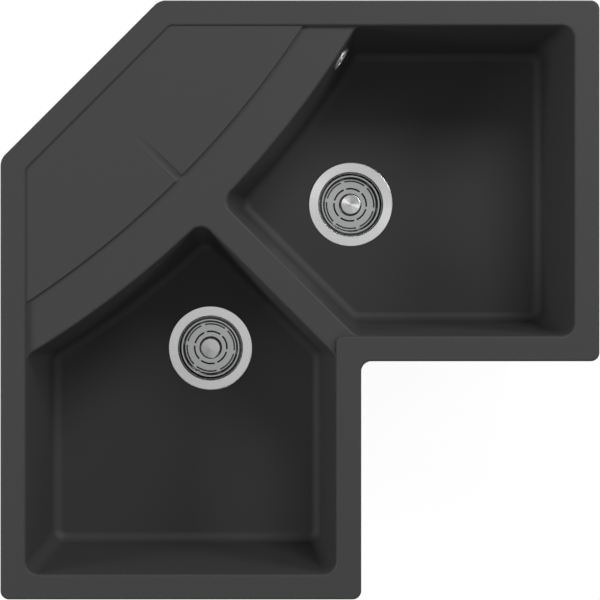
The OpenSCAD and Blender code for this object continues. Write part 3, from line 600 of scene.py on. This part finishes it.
groove_depth = DRAINER_Z - BAND_Z
groove_r = (GROOVE_W * GROOVE_W / 4 + groove_depth * groove_depth) / (2 * groove_depth)
groove_rise = groove_depth / GROOVE_L
groove_line = (along(1, 0) + Vector((0, 0, groove_rise))).normalized()
groove_foot = along(STEP_AT, 0) + Vector((0, 0, BAND_Z + groove_r))
start_piece()
bpy.ops.mesh.primitive_cylinder_add(
    vertices=ROUND_SIDES, radius=groove_r, depth=GROOVE_L,
    location=groove_foot + groove_line * (GROOVE_L / 2 - SMALL_EDGE_R),
    rotation=groove_line.to_track_quat("Z", "Y").to_euler(),
)
cut_out(casting, name_piece("groove"))

tap_place = along(STEP_AT - TAP_BEHIND_STEP, 0)
tap_centre = tap_place + Vector((0, 0, BAND_Z - TAP_SKIN - WALL / 2))
start_piece()
bpy.ops.mesh.primitive_cylinder_add(
    vertices=ROUND_SIDES, radius=TAP_R, depth=WALL, location=tap_centre,
)
cut_out(casting, name_piece("tap_hole"))

# %% [markdown]
# The lugs stand under the rim and hold the dowels of the fixing screws. Each is a tube whose bore is an
# inset and an extrusion, and whose closed head stands inside the rim.

# %% Add the lugs
LUG_R = 7 * MM
LUG_TOP = 2 * MM
LUG_FOOT = -36 * MM
LUG_BORE_R = 4.1 * MM
LUG_BORE = 26 * MM
LUG_SIDES = 48


def add_lug(place):
    """A tube closed at its top, whose head stands inside the rim."""
    start_piece()
    centre = (place[0], place[1], (LUG_FOOT + LUG_TOP) / 2)
    bpy.ops.mesh.primitive_cylinder_add(
        vertices=LUG_SIDES, radius=LUG_R, depth=LUG_TOP - LUG_FOOT, location=centre,
    )
    lug = name_piece("lug")
    pick_faces(lug, lambda c, f: at_height(LUG_FOOT, c))
    bpy.ops.mesh.inset(thickness=LUG_R - LUG_BORE_R)
    bpy.ops.mesh.extrude_region_move(TRANSFORM_OT_translate={"value": (0, 0, LUG_BORE)})
    return done(lug)


LUG_IN = 20.5 * MM
LUG_LINE = HALF - LUG_IN
LUG_NOTCH_LINE = NOTCH_AT - LUG_IN
DRAINER_LUG_AT = -60 * MM
FAR_LUG_AT = 250 * MM
END_LUG_AT = 165 * MM
lug_places = with_mirror(
    (DRAINER_LUG_AT, LUG_LINE, 0),
    (FAR_LUG_AT, LUG_LINE, 0),
    (LUG_LINE, END_LUG_AT, 0),
    (FAR_LUG_AT, -LUG_NOTCH_LINE, 0),
)
lugs = [add_lug(place) for place in lug_places]
start_piece()
for piece in (*lugs, casting):
    piece.select_set(True)
bpy.context.view_layer.objects.active = casting
bpy.ops.object.join()
print("faces with lugs", len(casting.data.polygons))

# %% [markdown]
# Shading. Faces that meet at a small angle are shaded as one surface, and weighted normals keep the
# large flat faces flat beside their rounded edges.

# %% Shade the casting smooth
SMOOTH_ANGLE = math.radians(35)


def finish_surface(piece):
    """Shades a piece smooth up to an angle and lets its flat faces stay flat."""
    start_piece()
    piece.select_set(True)
    bpy.context.view_layer.objects.active = piece
    bpy.ops.object.shade_smooth_by_angle(angle=SMOOTH_ANGLE)
    weighted = piece.modifiers.new("weighted", "WEIGHTED_NORMAL")
    weighted.keep_sharp = True
    bpy.ops.object.modifier_apply(modifier=weighted.name)


finish_surface(casting)
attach(casting, "sink")
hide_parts("sink_body")

# %% [markdown]
# The overflow's hose. On the real object it is a thin plastic tube blown into close ribs, so that it
# bends without folding. Its skin is made of rings along a line that goes down, round a quarter bend
# and across to the waste, and each ring's radius follows the ribs.

# %% Overflow hose
HOSE_TOP = Vector((36.70 * MM, 354.92 * MM, -92 * MM))
HOSE_DOWN = 95 * MM
HOSE_BEND_R = 45 * MM
HOSE_ACROSS = 105.2 * MM
HOSE_TURN = math.radians(-78.65)
HOSE_R = 12.5 * MM
HOSE_BORE_R = 9.5 * MM
RIB_PITCH = 4.2 * MM
RIB_DEPTH = 1.6 * MM
HOSE_PLAIN = 25 * MM
RING_STEP = RIB_PITCH / 6
RING_SIDES = 40
HOSE_SMOOTH_ANGLE = math.radians(60)


def hose_station(s):
    """The middle of the hose and its direction, at a distance s from its top."""
    level = Vector((math.cos(HOSE_TURN), math.sin(HOSE_TURN), 0))
    down = Vector((0, 0, -1))
    bend_l = HOSE_BEND_R * math.pi / 2
    if s < HOSE_DOWN:
        return HOSE_TOP + down * s, down
    bend_top = HOSE_TOP + down * HOSE_DOWN
    if s < HOSE_DOWN + bend_l:
        a = (s - HOSE_DOWN) / HOSE_BEND_R
        place = bend_top + level * HOSE_BEND_R * (1 - math.cos(a)) + down * HOSE_BEND_R * math.sin(a)
        return place, down * math.cos(a) + level * math.sin(a)
    corner = bend_top + (level + down) * HOSE_BEND_R
    return corner + level * (s - HOSE_DOWN - bend_l), level


def hose_radius(s, length):
    """Full on the ribs and less between them, and plain near both ends."""
    from_end = min(s, length - s)
    if from_end < HOSE_PLAIN:
        return HOSE_R - RIB_DEPTH / 2
    wave = math.cos(2 * math.pi * (from_end - HOSE_PLAIN) / RIB_PITCH)
    steeper = math.copysign(math.sqrt(abs(wave)), wave)
    return HOSE_R - RIB_DEPTH / 2 * (1 + steeper)


def add_ring(mesh, s, radius):
    place, way = hose_station(s)
    side = Vector((-math.sin(HOSE_TURN), math.cos(HOSE_TURN), 0))
    other = way.cross(side)
    turns = [2 * math.pi * i / RING_SIDES for i in range(RING_SIDES)]
    return [mesh.verts.new(place + (side * math.cos(t) + other * math.sin(t)) * radius) for t in turns]


def bridge(mesh, one, two):
    for i in range(RING_SIDES):
        k = (i + 1) % RING_SIDES
        mesh.faces.new((one[i], one[k], two[k], two[i]))


def make_hose():
    length = HOSE_DOWN + HOSE_BEND_R * math.pi / 2 + HOSE_ACROSS
    steps = round(length / RING_STEP)
    stations = [length * i / steps for i in range(steps + 1)]
    mesh = bmesh.new()
    outer = [add_ring(mesh, s, hose_radius(s, length)) for s in stations]
    inner = [add_ring(mesh, s, HOSE_BORE_R) for s in stations]
    loop = outer + inner[::-1] + outer[:1]
    for one, two in zip(loop, loop[1:]):
        bridge(mesh, one, two)
    bmesh.ops.recalc_face_normals(mesh, faces=mesh.faces)
    data = bpy.data.meshes.new("ribbed_hose")
    mesh.to_mesh(data)
    mesh.free()
    hose = bpy.data.objects.new("ribbed_hose", data)
    bpy.context.scene.collection.objects.link(hose)
    print("hose length", round(length / MM, 1), "mm, faces", len(data.polygons))
    return hose


hose = make_hose()
start_piece()
hose.select_set(True)
bpy.context.view_layer.objects.active = hose
bpy.ops.object.shade_smooth_by_angle(angle=HOSE_SMOOTH_ANGLE)
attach(hose, "sink")
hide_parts("overflow_hose")

# %% [markdown]
# The sealing strip under the rim. It is soft foam, so its edges are round. A plate cut to the sink's
# outline is inset twice, and the ring between both insets is thickened and rounded.

# %% Sealing strip
SEAL_W = 5 * MM
SEAL_EDGE_R = 0.3 * MM
SEAL_EDGE_STEPS = 2
seal_low, seal_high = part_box("rim_seal")
SEAL_IN = HALF - seal_high[0]

seal = cut_plate("sealing_strip")
round_outline(seal)
edit(seal, "FACE")
bpy.ops.mesh.select_all(action="SELECT")
bpy.ops.mesh.inset(thickness=SEAL_IN, depth=seal_high[2] - RIM_TOP)
bpy.ops.mesh.select_all(action="INVERT")
bpy.ops.mesh.delete(type="FACE")
bpy.ops.mesh.select_all(action="SELECT")
bpy.ops.mesh.inset(thickness=SEAL_W)
bpy.ops.mesh.delete(type="FACE")
done(seal)
thickness = seal.modifiers.new("thickness", "SOLIDIFY")
thickness.thickness = seal_high[2] - seal_low[2]
thickness.offset = -1
rounding = seal.modifiers.new("rounding", "BEVEL")
rounding.width = SEAL_EDGE_R
rounding.segments = SEAL_EDGE_STEPS
for modifier in (thickness, rounding):
    bpy.ops.object.modifier_apply(modifier=modifier.name)
finish_surface(seal)
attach(seal, "sink")
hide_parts("rim_seal")

# %% [markdown]
# Materials. Every finish is made of nodes on the pieces' own coordinates. The casting is a matt dark
# quartz composite with a fine grain. The steel of the wastes is brushed in circles round their
# centres, so light stretches into the bright and dark sectors that turned steel shows.

# %% Material helpers
def new_material(name):
    material = bpy.data.materials.new(name)
    material.use_nodes = True
    return material, material.node_tree, material.node_tree.nodes["Principled BSDF"]


def add_node(tree, kind, **settings):
    node = tree.nodes.new(kind)
    for name, value in settings.items():
        setattr(node, name, value)
    return node


def add_noise(tree, scale, detail=2.0):
    place = add_node(tree, "ShaderNodeTexCoord")
    noise = add_node(tree, "ShaderNodeTexNoise")
    noise.inputs["Scale"].default_value = scale
    noise.inputs["Detail"].default_value = detail
    tree.links.new(place.outputs["Object"], noise.inputs["Vector"])
    return noise.outputs["Fac"]


def add_ramp(tree, source, low, high, low_colour, high_colour):
    ramp = add_node(tree, "ShaderNodeValToRGB")
    ramp.color_ramp.elements[0].position = low
    ramp.color_ramp.elements[1].position = high
    ramp.color_ramp.elements[0].color = (*low_colour, 1)
    ramp.color_ramp.elements[1].color = (*high_colour, 1)
    tree.links.new(source, ramp.inputs["Fac"])
    return ramp.outputs["Color"]


def add_bump(tree, source, strength, distance):
    bump = add_node(tree, "ShaderNodeBump")
    bump.inputs["Strength"].default_value = strength
    bump.inputs["Distance"].default_value = distance
    tree.links.new(source, bump.inputs["Height"])
    return bump.outputs["Normal"]


def add_range(tree, source, low, high):
    spread = add_node(tree, "ShaderNodeMapRange")
    spread.inputs["To Min"].default_value = low
    spread.inputs["To Max"].default_value = high
    tree.links.new(source, spread.inputs["Value"])
    return spread.outputs["Result"]


# %% [markdown]
# The composite is quartz sand in dark acrylic. A fine noise gives its grain in colour and height, and
# a coarse one varies how matt it is.

# %% Composite
GRAIN_SCALE = 1400
GRAIN_SPREAD = (0.32, 0.68)
GRAIN_DARK = (0.0445, 0.0445, 0.0445)
GRAIN_LIGHT = (0.0625, 0.0625, 0.0625)
GRAIN_BUMP = 0.12
GRAIN_HEIGHT = 0.1 * MM
CLOUD_SCALE = 9
MATT = (0.56, 0.66)
COMPOSITE_SHINE = 0.3


def make_composite():
    material, tree, shader = new_material("composite")
    grain = add_noise(tree, GRAIN_SCALE)
    colour = add_ramp(tree, grain, *GRAIN_SPREAD, GRAIN_DARK, GRAIN_LIGHT)
    tree.links.new(colour, shader.inputs["Base Color"])
    rough = add_range(tree, add_noise(tree, CLOUD_SCALE), *MATT)
    tree.links.new(rough, shader.inputs["Roughness"])
    tree.links.new(add_bump(tree, grain, GRAIN_BUMP, GRAIN_HEIGHT), shader.inputs["Normal"])
    shader.inputs["Specular IOR Level"].default_value = COMPOSITE_SHINE
    return material


# %% [markdown]
# Turned steel. The brushing runs in circles, so the tangent is the cross product of the way from the
# centre with the upright axis. Low down in the cups the steel's colour is darkened to a painted shade.

# %% Turned steel
RING_SCALE = 900
RING_SPREAD = (0.3, 0.7)
RING_SHADE = 0.9
RING_BUMP = 0.25
RING_HEIGHT = 0.03 * MM
SMOOTHER = 0.04
ROUGHER = 0.06
STEEL = (0.9, 0.905, 0.9)
PRESSED_STEEL = (0.5, 0.505, 0.51)
# Painted shade: a dark colour put on the steel low in the cups and under the sink, where little light
# reaches
PAINTED_SHADE_COLOUR = (0.12, 0.12, 0.12)
PAINTED_SHADE_FADE = 2 * MM
CUP_PAINTED_SHADE_Z = FLOOR_Z - 3 * MM
BASKET_PAINTED_SHADE_Z = FLOOR_Z - 17 * MM
KNOB_PAINTED_SHADE_Z = FLOOR_Z - WALL


def add_depth(tree, level, fade):
    """1 above a height, and falling to 0 over a short way below it."""
    place = add_node(tree, "ShaderNodeTexCoord")
    parts = add_node(tree, "ShaderNodeSeparateXYZ")
    tree.links.new(place.outputs["Object"], parts.inputs["Vector"])
    step = add_node(tree, "ShaderNodeMapRange")
    step.inputs["From Min"].default_value = level - fade
    step.inputs["From Max"].default_value = level
    tree.links.new(parts.outputs["Z"], step.inputs["Value"])
    return step.outputs["Result"]


def make_turned_steel(name, centre, colour, roughness, stretch, painted_shade_below):
    """Steel brushed in circles round a centre in the plan, with a painted shade darkening its colour
    below a height.
    """
    material, tree, shader = new_material(name)
    place = add_node(tree, "ShaderNodeTexCoord")
    offset = add_node(tree, "ShaderNodeVectorMath", operation="SUBTRACT")
    offset.inputs[1].default_value = (centre[0], centre[1], 0)
    tree.links.new(place.outputs["Object"], offset.inputs[0])
    flat = add_node(tree, "ShaderNodeVectorMath", operation="MULTIPLY")
    flat.inputs[1].default_value = (1, 1, 0)
    tree.links.new(offset.outputs["Vector"], flat.inputs[0])
    around = add_node(tree, "ShaderNodeVectorMath", operation="CROSS_PRODUCT")
    around.inputs[1].default_value = (0, 0, 1)
    tree.links.new(flat.outputs["Vector"], around.inputs[0])
    unit = add_node(tree, "ShaderNodeVectorMath", operation="NORMALIZE")
    tree.links.new(around.outputs["Vector"], unit.inputs[0])
    far = add_node(tree, "ShaderNodeVectorMath", operation="LENGTH")
    tree.links.new(flat.outputs["Vector"], far.inputs[0])
    rings = add_node(tree, "ShaderNodeTexNoise", noise_dimensions="1D")
    rings.inputs["Scale"].default_value = RING_SCALE
    tree.links.new(far.outputs["Value"], rings.inputs["W"])
    darker = tuple(c * RING_SHADE for c in colour)
    shade = add_ramp(tree, rings.outputs["Fac"], *RING_SPREAD, darker, colour)
    # The painted shade: below the height, the steel's colour turns to the dark shade colour
    shade_mix = add_node(tree, "ShaderNodeMix", data_type="RGBA")
    shade_mix.inputs["A"].default_value = (*PAINTED_SHADE_COLOUR, 1)
    tree.links.new(add_depth(tree, painted_shade_below, PAINTED_SHADE_FADE), shade_mix.inputs["Factor"])
    tree.links.new(shade, shade_mix.inputs["B"])
    tree.links.new(shade_mix.outputs["Result"], shader.inputs["Base Color"])
    rough = add_range(tree, rings.outputs["Fac"], roughness - SMOOTHER, roughness + ROUGHER)
    tree.links.new(rough, shader.inputs["Roughness"])
    tree.links.new(unit.outputs["Vector"], shader.inputs["Tangent"])
    ridges = add_bump(tree, rings.outputs["Fac"], RING_BUMP, RING_HEIGHT)
    tree.links.new(ridges, shader.inputs["Normal"])
    shader.inputs["Metallic"].default_value = 1
    shader.inputs["Anisotropic"].default_value = stretch
    return material


# %% [markdown]
# The other finishes differ in colour, gloss and the size of their unevenness, so one function makes
# them all.

# %% Plain finishes with a slight unevenness
PLAIN_DETAIL = 3
PLAIN_SPREAD = (0.35, 0.65)
PLAIN_SMOOTHER = 0.05
PLAIN_ROUGHER = 0.08
PLAIN_HEIGHT = 0.1 * MM


def make_plain(name, dark, light, roughness, scale, metallic=0, bump=0.1):
    """A finish between two shades, a little uneven in colour, gloss and height."""
    material, tree, shader = new_material(name)
    cloud = add_noise(tree, scale, PLAIN_DETAIL)
    tree.links.new(add_ramp(tree, cloud, *PLAIN_SPREAD, dark, light), shader.inputs["Base Color"])
    rough = add_range(tree, cloud, roughness - PLAIN_SMOOTHER, roughness + PLAIN_ROUGHER)
    tree.links.new(rough, shader.inputs["Roughness"])
    tree.links.new(add_bump(tree, cloud, bump, PLAIN_HEIGHT), shader.inputs["Normal"])
    shader.inputs["Metallic"].default_value = metallic
    return material


# %% Finishes and the pieces that have them
composite = make_composite()
wastes = {"left": LEFT_WASTE, "right": RIGHT_WASTE}
# Colour, roughness, how far highlights stretch, and the height under which painted shade darkens the
# steel
turned_finishes = {
    "cup": (STEEL, 0.26, 0.6, CUP_PAINTED_SHADE_Z),
    "knob": (STEEL, 0.3, 0.85, KNOB_PAINTED_SHADE_Z),
    "basket": (PRESSED_STEEL, 0.22, 0.5, BASKET_PAINTED_SHADE_Z),
}
steels = {
    (side, kind): make_turned_steel(f"{side}_{kind}_steel", centre, *finish)
    for side, centre in wastes.items()
    for kind, finish in turned_finishes.items()
}
# Below the floor's height the overflow's steel gets the painted shade
overflow_steel = make_turned_steel("overflow_steel", overflow_place, STEEL, 0.5, 0.2, FLOOR_Z)
finishes = {
    "composite": composite,
    "stainless": overflow_steel,
    "zinc_steel": make_plain("zinc_steel", (0.42, 0.43, 0.44), (0.56, 0.56, 0.57), 0.38, 300, metallic=1),
    "brass": make_plain("brass", (0.56, 0.41, 0.16), (0.66, 0.5, 0.22), 0.32, 400, metallic=1),
    "rubber": make_plain("rubber", (0.017, 0.017, 0.017), (0.024, 0.024, 0.024), 0.7, 500),
    "foam": make_plain("foam", (0.012, 0.012, 0.012), (0.03, 0.03, 0.03), 0.9, 1200, bump=0.5),
    "dark_plastic": make_plain("dark_plastic", (0.022, 0.022, 0.023), (0.03, 0.03, 0.031), 0.42, 600),
    "hose_plastic": make_plain("hose_plastic", (0.034, 0.034, 0.036), (0.046, 0.046, 0.048), 0.38, 500),
    "pale_plastic": make_plain("pale_plastic", (0.62, 0.62, 0.58), (0.72, 0.72, 0.68), 0.45, 500),
}


def paint(piece, material):
    piece.data.materials.clear()
    piece.data.materials.append(material)


def finish_of(node, slot):
    """The steel of a waste's piece is brushed round that waste, and the rest goes by its slot."""
    side = node.split("_")[0]
    if slot != "stainless" or side not in wastes:
        return finishes[slot]
    kind = next((kind for kind in ("cup", "knob") if kind in node), "basket")
    return steels[side, kind]


for part in frame["record"]["subparts"]:
    paint(frame["nodes"][part["node"]], finish_of(part["node"], part["material_slot"]))
paint(casting, composite)
paint(hose, finishes["hose_plastic"])
paint(seal, finishes["foam"])

# %% [markdown]
# Floor and light. The photograph's background is pure white and its light is soft and comes from
# above the far wall. The floor shows white to the camera and still darkens under the sink.

# %% Floor
FLOOR_LEVEL = -286 * MM
FLOOR_SIZE = 30
FLOOR_TONES = ((0.79, 0.79, 0.79), (0.81, 0.81, 0.81))
FLOOR_SPREAD = (0.4, 0.6)
FLOOR_SCALE = 2
FLOOR_ROUGHNESS = 0.9
GLOW_SHARE = 0.88  # how much of what the camera sees of the floor is its own white
GLOW = 1.08


def make_floor():
    start_piece()
    bpy.ops.mesh.primitive_plane_add(size=FLOOR_SIZE, location=(0, 0, FLOOR_LEVEL))
    floor = name_piece("studio_floor")
    material, tree, shader = new_material("studio_floor")
    colour = add_ramp(tree, add_noise(tree, FLOOR_SCALE), *FLOOR_SPREAD, *FLOOR_TONES)
    tree.links.new(colour, shader.inputs["Base Color"])
    shader.inputs["Roughness"].default_value = FLOOR_ROUGHNESS
    glow = add_node(tree, "ShaderNodeEmission")
    glow.inputs["Strength"].default_value = GLOW
    rays = add_node(tree, "ShaderNodeLightPath")
    share = add_node(tree, "ShaderNodeMath", operation="MULTIPLY")
    share.inputs[1].default_value = GLOW_SHARE
    tree.links.new(rays.outputs["Is Camera Ray"], share.inputs[0])
    mixed = add_node(tree, "ShaderNodeMixShader")
    tree.links.new(share.outputs["Value"], mixed.inputs["Fac"])
    tree.links.new(shader.outputs["BSDF"], mixed.inputs[1])
    tree.links.new(glow.outputs["Emission"], mixed.inputs[2])
    output = tree.nodes["Material Output"]
    tree.links.new(mixed.outputs["Shader"], output.inputs["Surface"])
    paint(floor, material)
    return floor


make_floor()

# %% [markdown]
# Lamps. A large lamp beyond the far wall gives the main light and leaves the far ends of the bowls
# dark. Low lamps on three sides light the steep walls, and one overhead shows in the steel.

# %% World and lamps
WORLD_FILL = 0.2
world = bpy.data.worlds.new("studio")
world.use_nodes = True
sky = world.node_tree
fill = sky.nodes["Background"]
fill.inputs["Color"].default_value = (1, 1, 1, 1)
fill.inputs["Strength"].default_value = WORLD_FILL
white = add_node(sky, "ShaderNodeBackground")
white.inputs["Color"].default_value = (1, 1, 1, 1)
rays = add_node(sky, "ShaderNodeLightPath")
choice = add_node(sky, "ShaderNodeMixShader")
sky.links.new(rays.outputs["Is Camera Ray"], choice.inputs["Fac"])
sky.links.new(fill.outputs["Background"], choice.inputs[1])
sky.links.new(white.outputs["Background"], choice.inputs[2])
sky.links.new(choice.outputs["Shader"], sky.nodes["World Output"].inputs["Surface"])
bpy.context.scene.world = world


def add_lamp(name, place, size, power):
    data = bpy.data.lights.new(name, "AREA")
    data.shape = "DISK"
    data.size = size
    data.energy = power
    lamp = bpy.data.objects.new(name, data)
    lamp.location = place
    lamp.rotation_euler = (-Vector(place)).to_track_quat("-Z", "Y").to_euler()
    bpy.context.scene.collection.objects.link(lamp)


add_lamp("key", place=(1.4, 3.1, 3.4), size=1.7, power=86)
add_lamp("left_fill", place=(-3.4, 0.2, 1.9), size=1.4, power=62)
add_lamp("right_fill", place=(3.1, 1.6, 2.0), size=1.4, power=52)
add_lamp("front_fill", place=(0.6, -3.2, 2.0), size=1.4, power=11)
add_lamp("overhead", place=(0.1, 0.1, 5.0), size=2.2, power=7.5)

# %% [markdown]
# Camera. The photograph looks straight down, a little to the upper left of the centre.

# %% Camera
SENSOR = 36
PHOTO_WIDTH = 600
PHOTO_CENTRE_PX = 300
OPTICAL_AXIS_PX = 264
PHOTO_SCALE = SIDE / PHOTO_WIDTH
CAMERA_HEIGHT = 2.4
camera_offset = (OPTICAL_AXIS_PX - PHOTO_CENTRE_PX) * PHOTO_SCALE
camera_data = bpy.data.cameras.new("photo_camera")
camera_data.sensor_width = SENSOR
camera_data.lens = SENSOR * CAMERA_HEIGHT / SIDE
camera_data.shift_x = (PHOTO_CENTRE_PX - OPTICAL_AXIS_PX) / PHOTO_WIDTH
camera_data.shift_y = -camera_data.shift_x
camera = bpy.data.objects.new("photo_camera", camera_data)
camera.location = (camera_offset, -camera_offset, RIM_TOP + CAMERA_HEIGHT)
bpy.context.scene.collection.objects.link(camera)
bpy.context.scene.camera = camera

bpy.context.scene.view_settings.view_transform = "Standard"
